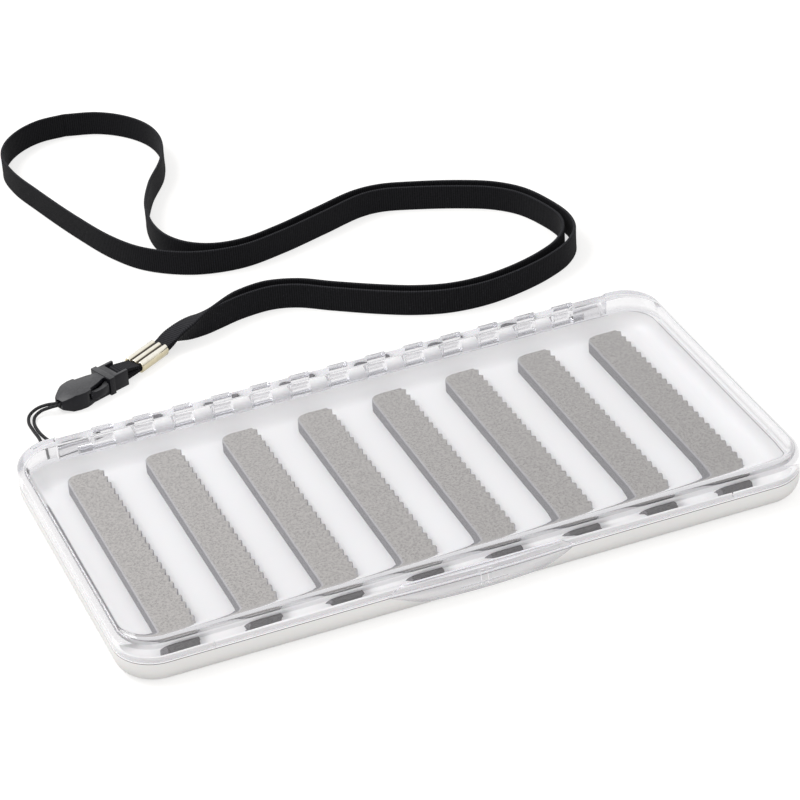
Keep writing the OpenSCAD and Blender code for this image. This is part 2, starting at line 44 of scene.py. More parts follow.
mm = 0.001     # setups are in millimetres, the scene in metres
scene = bpy.context.scene


# camera, fitted to the photograph's perspective
cameraSetup = {
    "position": (-0.2439, -0.6583, 0.4723),
    "right": (0.92354, -0.37941, -0.05591),
    "up": (0.24675, 0.47626, 0.84397),
    "back": (-0.29358, -0.79323, 0.53347),
    "lens": 142.73,
    "sensorWidth": 36,
    "clip": (0.05, 20),
}


def makeCamera(setup):
    lensData = bpy.data.cameras.new("studioCamera")
    lensData.sensor_width = setup["sensorWidth"]
    lensData.lens = setup["lens"]
    lensData.clip_start, lensData.clip_end = setup["clip"]
    camera = bpy.data.objects.new("studioCamera", lensData)
    scene.collection.objects.link(camera)
    turn = Matrix((setup["right"], setup["up"], setup["back"])).transposed()
    camera.matrix_world = Matrix.Translation(setup["position"]) @ turn.to_4x4()
    scene.camera = camera


makeCamera(cameraSetup)
print("camera placed")


# small helpers
def addObject(name, mesh):
    piece = bpy.data.objects.new(name, mesh)
    scene.collection.objects.link(piece)
    return piece


def meshFrom(name, points, faces, smooth=True):
    mesh = bpy.data.meshes.new(name)
    mesh.from_pydata([tuple(p) for p in points], [], faces)
    mesh.validate()
    mesh.update()
    for face in mesh.polygons:
        face.use_smooth = smooth
    return mesh


def settle(piece, smoothAngle=None):
    shaped = piece.evaluated_get(bpy.context.evaluated_depsgraph_get())
    mesh = bpy.data.meshes.new_from_object(shaped)
    piece.modifiers.clear()
    piece.data = mesh
    if smoothAngle is not None:
        mesh.set_sharp_from_angle(angle=math.radians(smoothAngle))
        for face in mesh.polygons:
            face.use_smooth = True
    return piece


def unitVector(v):
    return v / max(np.linalg.norm(v), 1e-12)


def mathNode(tree, operation, values):
    made = tree.nodes.new("ShaderNodeMath")
    made.operation = operation
    for socket, value in zip(made.inputs, values):
        if isinstance(value, (int, float)):
            socket.default_value = value
        else:
            tree.links.new(value, socket)
    return made.outputs[0]


# one material and the nodes it is built from
class Shelf:
    def __init__(self, name):
        self.material = bpy.data.materials.new(name)
        self.material.use_nodes = True
        self.tree = self.material.node_tree
        self.shader = self.tree.nodes["Principled BSDF"]
        self.coords = None

    def add(self, kind, **settings):
        made = self.tree.nodes.new("ShaderNode" + kind)
        for key, value in settings.items():
            setattr(made, key, value)
        return made

    def join(self, source, target):
        self.tree.links.new(source, target)

    def feed(self, socket, source):
        self.join(source, self.shader.inputs[socket])

    def set(self, **values):
        for key, value in values.items():
            self.shader.inputs[key.replace("_", " ")].default_value = value

    def calc(self, operation, *values):
        return mathNode(self.tree, operation, values)

    def colour(self, parts):
        made = self.add("RGB")
        made.outputs[0].default_value = (*parts, 1)
        return made.outputs[0]

    def place(self, which="Object", stretch=(1, 1, 1)):
        if self.coords is None:
            self.coords = self.add("TexCoord")
        mapping = self.add("Mapping")
        mapping.inputs["Scale"].default_value = stretch
        self.join(self.coords.outputs[which], mapping.inputs["Vector"])
        return mapping.outputs["Vector"]

    def noise(self, scale, detail=3, rough=0.5, **where):
        made = self.add("TexNoise")
        made.inputs["Scale"].default_value = scale
        made.inputs["Detail"].default_value = detail
        made.inputs["Roughness"].default_value = rough
        self.join(self.place(**where), made.inputs["Vector"])
        return made.outputs["Fac"]

    def ramp(self, source, stops):
        made = self.add("ValToRGB")
        bar = made.color_ramp
        while len(bar.elements) < len(stops):
            bar.elements.new(0.5)
        for element, (at, colour) in zip(bar.elements, stops):
            element.position = at
            element.color = (*colour, 1)
        self.join(source, made.inputs["Fac"])
        return made.outputs["Color"]

    def facing(self, axis):
        split = self.add("SeparateXYZ")
        self.join(self.add("NewGeometry").outputs["Normal"], split.inputs["Vector"])
        return split.outputs[axis]

    def facingUp(self, low, high):
        span = self.add("MapRange", interpolation_type="SMOOTHSTEP")
        span.inputs["From Min"].default_value = low
        span.inputs["From Max"].default_value = high
        self.join(self.facing("Z"), span.inputs["Value"])
        return span.outputs["Result"]

    def blend(self, share, first, second):
        made = self.add("Mix", data_type="RGBA")
        self.join(share, made.inputs["Factor"])
        for colour, slot in ((first, "A"), (second, "B")):
            self.join(colour, made.inputs[slot])
        return made.outputs["Result"]

    def level(self, source, low, high):
        made = self.add("MapRange")
        made.inputs["To Min"].default_value = low
        made.inputs["To Max"].default_value = high
        self.join(source, made.inputs["Value"])
        return made.outputs["Result"]

    def bump(self, height, strength, distance):
        made = self.add("Bump")
        made.inputs["Strength"].default_value = strength
        made.inputs["Distance"].default_value = distance
        self.join(height, made.inputs["Height"])
        self.feed("Normal", made.outputs["Normal"])


# white moulded tray; the seam bounds hold a painted shade line on its sides just under the lid
trayLook = {
    "cloudScale": 18, "white": [(0.3, (0.85, 0.842, 0.83)), (0.7, (0.885, 0.882, 0.872))],
    "seam": (0.3, 0.29, 0.3), "upright": (0.3, 0.6),
    "seamBounds": (("Z", "GREATER_THAN", 0.00662), ("Z", "LESS_THAN", 0.00702), ("Y", "LESS_THAN", 0.049)),
    "wearScale": 300, "roughness": (0.36, 0.46), "bumpScale": 900, "bump": (0.05, 0.00002),
}


def trayPlastic(look):
    m = Shelf("trayPlastic")
    white = m.ramp(m.noise(look["cloudScale"], 2), look["white"])
    spot = m.add("SeparateXYZ")
    m.join(m.place(), spot.inputs["Vector"])
    # painted seam shade: only on faces that don't face up, inside the seam bounds
    share = m.calc("SUBTRACT", 1, m.facingUp(*look["upright"]))
    for axis, operation, limit in look["seamBounds"]:
        share = m.calc("MULTIPLY", share, m.calc(operation, spot.outputs[axis], limit))
    m.feed("Base Color", m.blend(share, white, m.colour(look["seam"])))
    m.feed("Roughness", m.level(m.noise(look["wearScale"], 3), *look["roughness"]))
    m.set(Specular_IOR_Level=0.4, Coat_Weight=0.08, Coat_Roughness=0.2,
          Subsurface_Weight=0.05, Subsurface_Scale=0.002)
    m.bump(m.noise(look["bumpScale"], 2), *look["bump"])
    return m.material


# clear plastic: painted shade makes it greyer at a slant and on its rounded edges; it is greyer along long
# ways through it by absorption
clearLook = {
    "paintedSlantShade": [(0.0, (0.99, 0.99, 0.993)), (0.62, (0.975, 0.975, 0.982)),
              (0.82, (0.85, 0.845, 0.858)), (1.0, (0.36, 0.355, 0.38))],
    "rimBand": [(0.12, (0, 0, 0)), (0.22, (1, 1, 1)), (0.88, (1, 1, 1)), (0.96, (0, 0, 0))],
    "rim": (0.6, 0.595, 0.61), "soak": (0.5, 0.49, 0.535, 1), "soakDensity": 42,
    "seeThrough": (0.975, 0.975, 0.985, 1), "waveScale": 60, "bump": (0.04, 0.00008),
}


def clearPlastic(look):
    m = Shelf("clearPlastic")
    m.set(Transmission_Weight=1, IOR=1.5, Roughness=0.015, Specular_IOR_Level=0.5)
    edge = m.add("LayerWeight")
    edge.inputs["Blend"].default_value = 0.5
    # painted shade: greyer at a slant and on the rounded edges, where darker surroundings would show
    paintedSlantShade = m.ramp(edge.outputs["Facing"], look["paintedSlantShade"])
    rim = m.ramp(m.calc("ABSOLUTE", m.facing("Z")), look["rimBand"])
    m.feed("Base Color", m.blend(rim, paintedSlantShade, m.colour(look["rim"])))
    soak = m.add("VolumeAbsorption")
    soak.inputs["Color"].default_value = look["soak"]
    soak.inputs["Density"].default_value = look["soakDensity"]
    output = m.tree.nodes["Material Output"]
    m.join(soak.outputs[0], output.inputs["Volume"])
    m.bump(m.noise(look["waveScale"], 1), *look["bump"])
    path = m.add("LightPath")
    seeThrough = m.add("BsdfTransparent")
    seeThrough.inputs["Color"].default_value = look["seeThrough"]

    def choose(ray, otherwise, then):
        mix = m.add("MixShader")
        m.join(path.outputs[ray], mix.inputs[0])
        m.join(otherwise, mix.inputs[1])
        m.join(then, mix.inputs[2])
        return mix.outputs[0]

    # plain see-through for the light that reaches the foam and for rays thrown back inside
    glass, plain = m.shader.outputs[0], seeThrough.outputs[0]
    shade = choose("Is Glossy Ray", glass, choose("Is Transmission Ray", plain, glass))
    shade = choose("Is Shadow Ray", choose("Is Diffuse Ray", shade, plain), plain)
    m.join(shade, output.inputs["Surface"])
    return m.material


# closed-cell foam, lit on top with painted shade on its sides, a painted highlight on the rounded top edge
# and darker painted shade on the front ends
foamLook = {
    "cellScale": 1400, "grainScale": 1250, "grainShift": 3, "cellShare": 0.6,
    "paintedEdgeHighlightFrom": (0.3, 0.5), "topFrom": (0.86, 0.98), "endBelow": -0.8, "bump": (0.35, 0.0002),
    # the ramps below: the lit top, the painted-shade sides, a painted highlight on the rounded edge, darker
    # painted shade on the front ends
    "top": [(0.56, (0.246, 0.232, 0.215)), (0.73, (0.322, 0.305, 0.285)), (0.92, (0.408, 0.386, 0.36))],
    "side": [(0.45, (0.16, 0.154, 0.163)), (0.9, (0.22, 0.213, 0.225))],
    "rounded": [(0.45, (0.36, 0.35, 0.36)), (0.9, (0.46, 0.45, 0.46))],
    "end": [(0.45, (0.07, 0.067, 0.07)), (0.9, (0.11, 0.106, 0.11))],
}


def foamSkin(seed, tone, look):
    m = Shelf("foamSkin%d" % seed)
    cell = m.add("TexVoronoi")
    cell.inputs["Scale"].default_value = look["cellScale"]
    m.join(m.place(), cell.inputs["Vector"])
    grain = m.noise(look["grainScale"] + seed * look["grainShift"], 4, 0.75)
    mixed = m.calc("MULTIPLY_ADD", cell.outputs["Distance"], look["cellShare"], grain)

    def toned(part):
        return m.ramp(mixed, [(at, [tone * level for level in colour]) for at, colour in look[part]])

    # painted shade on the sides and, darker, on the front ends; a painted highlight along the rounded top
    # edge; the lit colour on top
    paintedEndShadeMask = m.calc("LESS_THAN", m.facing("Y"), look["endBelow"])
    shadedFlank = m.blend(paintedEndShadeMask, toned("side"), toned("end"))
    shadedFlank = m.blend(m.facingUp(*look["paintedEdgeHighlightFrom"]), shadedFlank, toned("rounded"))
    m.feed("Base Color", m.blend(m.facingUp(*look["topFrom"]), shadedFlank, toned("top")))
    m.set(Roughness=0.92, Specular_IOR_Level=0.25, Sheen_Weight=0.1, Sheen_Roughness=0.6)
    m.bump(mixed, *look["bump"])
    return m.material


# ribbed webbing; the wave's scale gives one band to each rib; upward faces get a painted lit colour, the
# rest a painted shaded one
webbingLook = {
    "ribScale": 314.16 / 0.7, "yarn": (900, 5000, 1), "ribShare": 0.5, "litFrom": (0.35, 0.95),
    "face": [(0.35, (0.001, 0.001, 0.0012)), (0.95, (0.013, 0.013, 0.015))],
    "lit": [(0.35, (0.002, 0.002, 0.003)), (0.95, (0.032, 0.032, 0.036))], "bump": (0.8, 0.00015),
}


def webbingWeave(look):
    m = Shelf("webbingWeave")
    rib = m.add("TexWave", wave_type="BANDS", bands_direction="X", wave_profile="SIN")
    rib.inputs["Scale"].default_value = look["ribScale"]
    rib.inputs["Distortion"].default_value = 0.4
    rib.inputs["Detail"].default_value = 2
    m.join(m.place("UV"), rib.inputs["Vector"])
    yarn = m.noise(1, 4, 0.6, which="UV", stretch=look["yarn"])
    tone = m.calc("MULTIPLY_ADD", rib.outputs["Fac"], look["ribShare"], yarn)
    # the lit ramp is the painted lit colour for upward faces, the other ramp the painted shaded colour for
    # the rest
    face, lit = m.ramp(tone, look["face"]), m.ramp(tone, look["lit"])
    m.feed("Base Color", m.blend(m.facingUp(*look["litFrom"]), face, lit))
    m.set(Roughness=0.72, Specular_IOR_Level=0.07, Sheen_Weight=0.02, Sheen_Roughness=0.4)
    m.bump(tone, *look["bump"])
    return m.material


# fine braided cord
cordLook = {
    "strandScale": 500, "strand": [(0.2, (0.004, 0.004, 0.005)), (0.9, (0.022, 0.022, 0.024))],
    "bump": (0.6, 0.0001),
}


def cordBraid(look):
    m = Shelf("cordBraid")
    strand = m.add("TexWave", wave_type="BANDS", bands_direction="DIAGONAL", wave_profile="SIN")
    strand.inputs["Scale"].default_value = look["strandScale"]
    strand.inputs["Distortion"].default_value = 0.6
    m.join(m.place("UV"), strand.inputs["Vector"])
    m.feed("Base Color", m.ramp(strand.outputs["Fac"], look["strand"]))
    m.set(Roughness=0.6, Specular_IOR_Level=0.25)
    m.bump(strand.outputs["Fac"], *look["bump"])
    return m.material


# black moulded plastic, paler where it faces up with painted light and darker on its flanks with painted
# shade
buckleLook = {
    "grainScale": 1400, "cloudScale": 90, "topFrom": (0.55, 0.97), "roughness": (0.26, 0.4),
    "bump": (0.2, 0.00005),
    "shadedFlank": [(0.3, (0.005, 0.005, 0.007)), (0.7, (0.01, 0.01, 0.013))],
    "top": [(0.3, (0.052, 0.052, 0.055)), (0.7, (0.074, 0.074, 0.078))],
}


def bucklePlastic(look):
    m = Shelf("bucklePlastic")
    grain = m.noise(look["grainScale"], 3, 0.6)
    # painted shade on the flanks, the painted lit colour on top
    shadedFlank = m.ramp(m.noise(look["cloudScale"], 3), look["shadedFlank"])
    top = m.ramp(grain, look["top"])
    m.feed("Base Color", m.blend(m.facingUp(*look["topFrom"]), shadedFlank, top))
    m.feed("Roughness", m.level(grain, *look["roughness"]))
    m.set(Specular_IOR_Level=0.2)
    m.bump(grain, *look["bump"])
    return m.material


# plated metal, painted lit where it faces up and painted shaded on its sides; the crimp's own attribute, 1
# in its grooves and ends, darkens them with painted shade
crimpLook = {
    "brush": (900, 900, 90), "topFrom": (0.1, 0.8), "wearScale": 500, "roughness": (0.12, 0.22),
    "plate": [(0.3, (0.88, 0.84, 0.74)), (0.7, (0.96, 0.93, 0.85))],
    "shaded": [(0.3, (0.5, 0.45, 0.31)), (0.7, (0.62, 0.56, 0.4))],
    "hollow": [(0.0, (1, 1, 1)), (0.55, (0.9, 0.88, 0.82)), (0.95, (0.06, 0.05, 0.04))],
    "bump": (0.05, 0.00003),
}


def crimpMetal(look):
    m = Shelf("crimpMetal")
    brushed = m.noise(1, 4, 0.6, stretch=look["brush"])
    plate, shaded = m.ramp(brushed, look["plate"]), m.ramp(brushed, look["shaded"])
    hollow = m.add("Attribute", attribute_name="hollow")
    shade = m.add("Mix", data_type="RGBA", blend_type="MULTIPLY")
    shade.inputs["Factor"].default_value = 1
    m.join(m.blend(m.facingUp(*look["topFrom"]), shaded, plate), shade.inputs["A"])
    m.join(m.ramp(hollow.outputs["Fac"], look["hollow"]), shade.inputs["B"])
    m.feed("Base Color", shade.outputs["Result"])
    m.feed("Roughness", m.level(m.noise(look["wearScale"], 3), *look["roughness"]))
    m.set(Metallic=1)
    m.bump(brushed, *look["bump"])
    return m.material


# drawn wire, its lines along the hinge
pinLook = {
    "draw": (60, 2500, 2500), "steel": [(0.3, (0.6, 0.6, 0.61)), (0.7, (0.74, 0.74, 0.75))],
    "roughness": (0.2, 0.35),
}


def pinSteel(look):
    m = Shelf("pinSteel")
    drawn = m.noise(1, 3, 0.5, stretch=look["draw"])
    m.feed("Base Color", m.ramp(drawn, look["steel"]))
    m.feed("Roughness", m.level(drawn, *look["roughness"]))
    m.set(Metallic=1)
    return m.material


finishes = {
    "tray": trayPlastic(trayLook), "clear": clearPlastic(clearLook), "webbing": webbingWeave(webbingLook),
    "cord": cordBraid(cordLook), "buckle": bucklePlastic(buckleLook), "crimp": crimpMetal(crimpLook),
    "pin": pinSteel(pinLook),
}
print("finishes ready")


# cords: smooth paths
def smoothPath(route, step, fineStep):
    route = np.array(route, float)
    ends = np.vstack([2 * route[0] - route[1], route, 2 * route[-1] - route[-2]])
    rows = []
    for i in range(1, len(ends) - 2):
        p0, p1, p2, p3 = ends[i - 1:i + 3]
        count = max(2, int(math.ceil(np.linalg.norm(p2[:3] - p1[:3]) / fineStep)))
        k0, k1, k2 = [max(np.linalg.norm(b[:3] - a[:3]), 1e-6) ** 0.5
                      for a, b in ((p0, p1), (p1, p2), (p2, p3))]
        m1 = k1 * ((p1 - p0) / k0 - (p2 - p0) / (k0 + k1) + (p2 - p1) / k1)
        m2 = k1 * ((p2 - p1) / k1 - (p3 - p1) / (k1 + k2) + (p3 - p2) / k2)
        for t in np.linspace(0, 1, count, endpoint=False):
            a, b = t * t * t, t * t
            rows.append((2 * a - 3 * b + 1) * p1 + (a - 2 * b + t) * m1
                        + (3 * b - 2 * a) * p2 + (a - b) * m2)
    rows.append(route[-1])
    rows = np.array(rows)
    along = np.concatenate([[0], np.cumsum(np.linalg.norm(np.diff(rows[:, :3], axis=0), axis=1))])
    count = int(round(along[-1] / step)) + 1
    marks = np.linspace(0, along[-1], count)
    path = np.column_stack([np.interp(marks, along, rows[:, k]) for k in range(rows.shape[1])])
    return path, marks


def pathHeadings(path):
    steps = np.gradient(path[:, :3], axis=0)
    return np.array([unitVector(s) for s in steps])


def sweptMesh(name, rings, marks, girth):
    n, m = len(rings[0]), len(rings)
    points = [p for ring in rings for p in ring]
    faces = [(i * n + k, i * n + (k + 1) % n, (i + 1) * n + (k + 1) % n, (i + 1) * n + k)
             for i in range(m - 1) for k in range(n)]
    faces += [tuple(range(n - 1, -1, -1)), tuple((m - 1) * n + k for k in range(n))]
    mesh = meshFrom(name, points, faces)
    uv = mesh.uv_layers.new(name="along")
    for face in mesh.polygons:
        for slot, vertex, corner in zip(face.loop_indices, face.vertices, range(4 * n)):
            i, k = divmod(vertex, n)
            if len(face.vertices) == 4 and corner in (1, 2) and k == 0:
                k = n
            uv.data[slot].uv = (marks[i], girth * k / n)
    return mesh


lanyardSetup = {
    "width": 8.0,          # webbing, across
    "gathered": 5.3,       # webbing where it is gathered in the crimp
    "folded": 5.0,         # webbing round the buckle's bar
    "thickness": 0.9,
    "ribPitch": 0.7,
    "ribHeight": 0.1,
    "foldTurn": 24,        # degrees, the way the buckle's bar lies
    "cordDiameter": 0.95,
    "cordSides": 14,
    "cordStep": 0.35,
    "cordSide": (0.02, 0.03, 1),     # sets where the first side of the cord lies
    "fineStep": 0.4,       # spacing of the curve's own points, before it is walked evenly
    "ribbonEvery": 8,
    "cordEvery": 4,
}


def onEdge(spots):
    return [(x, y, 4, 90, 1) for x, y in spots]


# x, y, z, twist, share of the full width; beside the crimp the outer run turns up before the inner one
outerRoute = [
    (-41, 95.2, 1.95, 0, 0), (-36, 98.3, 1.95, 6, 0), (-31, 100.2, 2.75, 36, 0.5),
    (-26, 100.8, 3.5, 64, 0.7), (-20.5, 102.6, 4, 84, 1),
] + onEdge([
    (-15, 104.6), (-8, 106.6), (1.5, 107.3), (8.5, 105), (17, 98.6), (29, 90),
    (38, 84.7), (47.5, 81.3), (58.5, 80.4), (70.5, 82.4), (81, 86), (89.5, 91),
    (95, 97.8), (96.8, 106), (95, 117.5), (91.3, 127.5), (85, 135), (76, 140.8),
    (63, 146.8), (53, 150.2), (44.5, 150.2), (31, 145.8), (16.5, 140.9), (4, 138.2),
    (-5, 139.6), (-11.5, 144), (-15.8, 151), (-17.3, 160), (-15.5, 172), (-9.8, 185.5),
    (-1.2, 199.5), (2.8, 213), (2, 223.5), (-2.6, 232.5), (-10, 239.3), (-20, 243),
])
innerRoute = [
    (-41, 95.2, 3.05, 0, 0), (-36, 98.3, 3.05, 0, 0), (-31.2, 100.9, 4.3, 8, 0.6),
    (-26.5, 102.6, 5.5, 16, 0.8), (-21.2, 104.9, 6.1, 32, 1), (-15.8, 107.5, 5.3, 52, 1),
    (-8.5, 110, 4.4, 76, 1),
] + onEdge([
    (1.5, 110.9), (10.3, 107.8), (19, 101.2), (31, 92.8), (39.5, 87.8), (48.5, 84.5),
    (58.5, 83.7), (69.5, 85.5), (79.5, 89), (87, 93.4), (92, 99.5), (94, 106.5),
    (92.4, 116.5), (88.8, 125.7), (83, 132.3), (75, 137.4), (62, 143.6), (52.5, 147),
    (45.5, 147), (31.5, 142.3), (17, 137.5), (3, 134.6), (-8.5, 136.2), (-16.5, 140),
    (-25, 147.5), (-31, 158), (-37, 176), (-42.5, 197), (-46, 213), (-46, 224.5),
    (-42.5, 233), (-36, 239.5), (-28.5, 242.8), (-20.1, 243),
])
foldRoute = [
    (-41.1, 95.1, 1.95), (-45.5, 92.4, 1.95), (-48.6, 91.2, 1.5), (-51.6, 90, 1.25),
    (-52.6, 89.65, 1.7), (-52.95, 89.5, 2.7), (-52.6, 89.65, 3.7), (-51.6, 90, 4.15),
    (-48.6, 91.2, 3.6), (-45.5, 92.4, 3.05), (-41.1, 95.1, 3.05),
]
cordRoute = [
    (-68, 83.2, 2.7), (-71.6, 81.8, 2.7), (-74.4, 82.2, 2.3), (-76.8, 83, 1.4),
    (-78.8, 82, 0.8), (-79.9, 79.6, 0.5), (-80.2, 76, 0.5), (-79.7, 71.6, 0.5),
    (-78.4, 67.6, 0.5), (-76, 64, 0.5), (-72.6, 61.2, 0.6), (-69.4, 59, 0.9),
    (-67.6, 56.4, 1.5), (-68, 54, 2.3), (-69.4, 52.4, 2.9), (-71.4, 51.9, 3),
    (-76.5, 51.9, 3), (-81.6, 51.9, 3), (-83.8, 52.4, 2.8), (-85, 54, 2.2),
    (-85, 56.4, 1.4), (-83.8, 59.2, 0.8), (-82.4, 62.4, 0.5), (-81.4, 66.4, 0.5),
    (-81, 71, 0.5), (-81.3, 76, 0.5), (-81.2, 80.4, 0.5), (-79.9, 83.6, 0.7),
    (-77.4, 84.8, 1.4), (-74.7, 84, 2.3), (-72, 82.9, 2.7), (-68.4, 84.1, 2.7),
]


# half of the webbing's outline, in shares of half its width and thickness
ribbonHalf = [
    (1.0, 0.0), (0.985, 0.55), (0.95, 0.95), (0.86, 1.0), (0.6, 0.9), (0.3, 0.9),
    (0, 0.9), (-0.3, 0.9), (-0.6, 0.9), (-0.86, 1.0), (-0.95, 0.95), (-0.985, 0.55),
]


def ribbonSection(width, thickness, rib):
    half, flat = width / 2, thickness / 2
    upper = [(u * half, v * (flat + rib)) for u, v in ribbonHalf]
    lower = [(-u, -v) for u, v in upper]
    return [(-u, v) for u, v in upper + lower][::-1]


def pathPoints(path, every):
    return [Vector(p[:3] * mm) for p in path[::every]] + [Vector(path[-1][:3] * mm)]


def ribbonPiece(name, route, across, setup):
    step = setup["ribPitch"] / 2
    path, marks = smoothPath(route, step, setup["fineStep"])
    headings = pathHeadings(path)
    rings = []
    for i, (row, heading) in enumerate(zip(path, headings)):
        side = np.array(across(row, heading, setup))
        side = unitVector(side - side.dot(heading) * heading)
        out = np.cross(side, heading)
        width = setup["folded"]
        if len(row) > 4:
            width = setup["gathered"] + (setup["width"] - setup["gathered"]) * min(max(row[4], 0), 1)
        rib = setup["ribHeight"] * (0.5 if i % 2 else -0.5)
        rings.append([(row[:3] + u * side + v * out) * mm
                      for u, v in ribbonSection(width, setup["thickness"], rib)])
    mesh = sweptMesh(name, rings, marks * mm, (2 * setup["width"] + 2 * setup["thickness"]) * mm)
    piece = addObject(name, mesh)
    mesh.materials.append(finishes["webbing"])
    return piece, pathPoints(path, setup["ribbonEvery"]), marks[-1] * mm


def twistedAcross(row, heading, setup):
    flat = unitVector(np.array([heading[0], heading[1], 0]))
    twist = math.radians(min(max(row[3], 0), 90))
    return (flat[1] * math.cos(twist), -flat[0] * math.cos(twist), math.sin(twist))


def foldAcross(row, heading, setup):
    turn = math.radians(setup["foldTurn"])
    return (math.sin(turn), -math.cos(turn), 0)


def cordPiece(name, route, setup):
    path, marks = smoothPath(route, setup["cordStep"], setup["fineStep"])
    headings = pathHeadings(path)
    side = unitVector(np.cross(headings[0], setup["cordSide"]))
    rings = []
    for row, heading in zip(path, headings):
        side = unitVector(side - side.dot(heading) * heading)
        up = np.cross(side, heading)
        radius = setup["cordDiameter"] / 2
        rings.append([(row[:3] + radius * (math.cos(a) * side - math.sin(a) * up)) * mm
                      for a in np.linspace(0, 2 * math.pi, setup["cordSides"], endpoint=False)])
    mesh = sweptMesh(name, rings, marks * mm, math.pi * setup["cordDiameter"] * mm)
    piece = addObject(name, mesh)
    mesh.materials.append(finishes["cord"])
    return piece, pathPoints(path, setup["cordEvery"]), marks[-1] * mm


outerStrap, outerPath, outerLength = ribbonPiece("outerStrap", outerRoute, twistedAcross, lanyardSetup)
innerStrap, innerPath, innerLength = ribbonPiece("innerStrap", innerRoute, twistedAcross, lanyardSetup)
barFold = ribbonPiece("barFold", foldRoute, foldAcross, lanyardSetup)[0]
eyeCord, eyePath, eyeLength = cordPiece("eyeCord", cordRoute, lanyardSetup)
print("webbing and cord laid:", round(outerLength, 4), round(innerLength, 4), round(eyeLength, 4))


# rigid pieces kept in the shape of their solids
def cutWith(piece, plan, low, high):
    n = len(plan)
    points = [(*spot, z) for z in (low, high) for spot in plan]
    faces = [tuple(range(n))[::-1], tuple(range(n, 2 * n))]
    faces += [(i, (i + 1) % n, n + (i + 1) % n, n + i) for i in range(n)]
    mesh = meshFrom("cutter", points, faces, smooth=False)
    work = bmesh.new()
    work.from_mesh(mesh)
    bmesh.ops.recalc_face_normals(work, faces=work.faces)
    work.to_mesh(mesh)
    work.free()
    cutter = addObject("cutter", mesh)
    cut = piece.modifiers.new("cut", "BOOLEAN")
    cut.operation, cut.solver, cut.object = "DIFFERENCE", "EXACT", cutter
    settle(piece)
    bpy.data.objects.remove(cutter)


# lengths in metres, angles in degrees
dressing = {"mergeWithin": 2e-6, "flatWithin": 0.6, "bevelSegments": 2, "bevelOver": 32, "smoothUnder": 38}


def dressedNode(node, name, material, bevel, cuts=()):
    mesh = nodes[node].data.copy()
    mesh.name = name
    work = bmesh.new()
    work.from_mesh(mesh)
    bmesh.ops.remove_doubles(work, verts=work.verts, dist=dressing["mergeWithin"])
    bmesh.ops.dissolve_limit(work, angle_limit=math.radians(dressing["flatWithin"]),
                             verts=work.verts, edges=work.edges)
    work.to_mesh(mesh)
    work.free()
    mesh.materials.clear()
    mesh.materials.append(material)
    piece = addObject(name, mesh)
    for plan, low, high in cuts:
        cutWith(piece, plan, low, high)
    if bevel:
        soften = piece.modifiers.new("soften", "BEVEL")
        soften.width = bevel * mm
        soften.segments = dressing["bevelSegments"]
        soften.limit_method = "ANGLE"
        soften.angle_limit = math.radians(dressing["bevelOver"])
        soften.use_clamp_overlap = True
        soften.harden_normals = False
    settle(piece, dressing["smoothUnder"])
    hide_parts(node)
    return piece


caseSetup = {"trayBevel": 0.12, "lidBevel": 0.15, "lugBevel": 0.2, "pinBevel": 0.1}
tray = dressedNode("base_tray", "trayShell", finishes["tray"], caseSetup["trayBevel"])
lid = dressedNode("lid", "lidShell", finishes["clear"], caseSetup["lidBevel"])
pin = dressedNode("hinge_pin", "hingeRod", finishes["pin"], caseSetup["pinBevel"])
lugs = [dressedNode("lanyard_lug_" + side, "eyeBlock_" + side, finishes["clear"], caseSetup["lugBevel"])
        for side in ("left", "right")]
print("case dressed")


# three lobes side by side, with an open end at each side
crimpSetup = {
    "start": (-46.06, 92.36, 2.5), "turn": 32, "length": 11.6, "half": 3.45,
    "lobeAt": 2.3, "lobeHalf": 1.15, "lobeHeight": 1.75, "grooveHeight": 1.2,
    "boreHalf": 2.85, "boreHeight": 1.05, "boreSquareness": 0.4,
    "lip": 0.2, "lipShare": 0.3, "around": 160, "smoothUnder": 50,
}


def crimpRing(setup, draw, bore):
    ring, hollow = [], []
    for a in np.linspace(0, 2 * math.pi, setup["around"], endpoint=False):
        c, s = math.cos(a), math.sin(a)
        v = setup["half"] * c
        centre = setup["lobeAt"] if abs(v) > setup["lobeAt"] / 2 else 0
        w = setup["lobeHeight"] * math.sqrt(max(0, 1 - ((abs(v) - centre) / setup["lobeHalf"]) ** 2))
        inside = abs(v) < setup["lobeAt"]
        if inside:
            w = max(w, setup["grooveHeight"])
        # depth carries the painted groove shade: 1 at the groove floors and in the bores
        depth = (setup["lobeHeight"] - w) / (setup["lobeHeight"] - setup["grooveHeight"]) if inside else 0
        if bore:
            v = setup["boreHalf"] * math.copysign(abs(c) ** setup["boreSquareness"], c)
            w, depth = setup["boreHeight"] * abs(s) ** setup["boreSquareness"], 1
        ring.append((v * (1 - draw / setup["half"]), math.copysign(max(w - draw, 0) if not bore else w, s)))
        hollow.append(depth)
    return ring, hollow


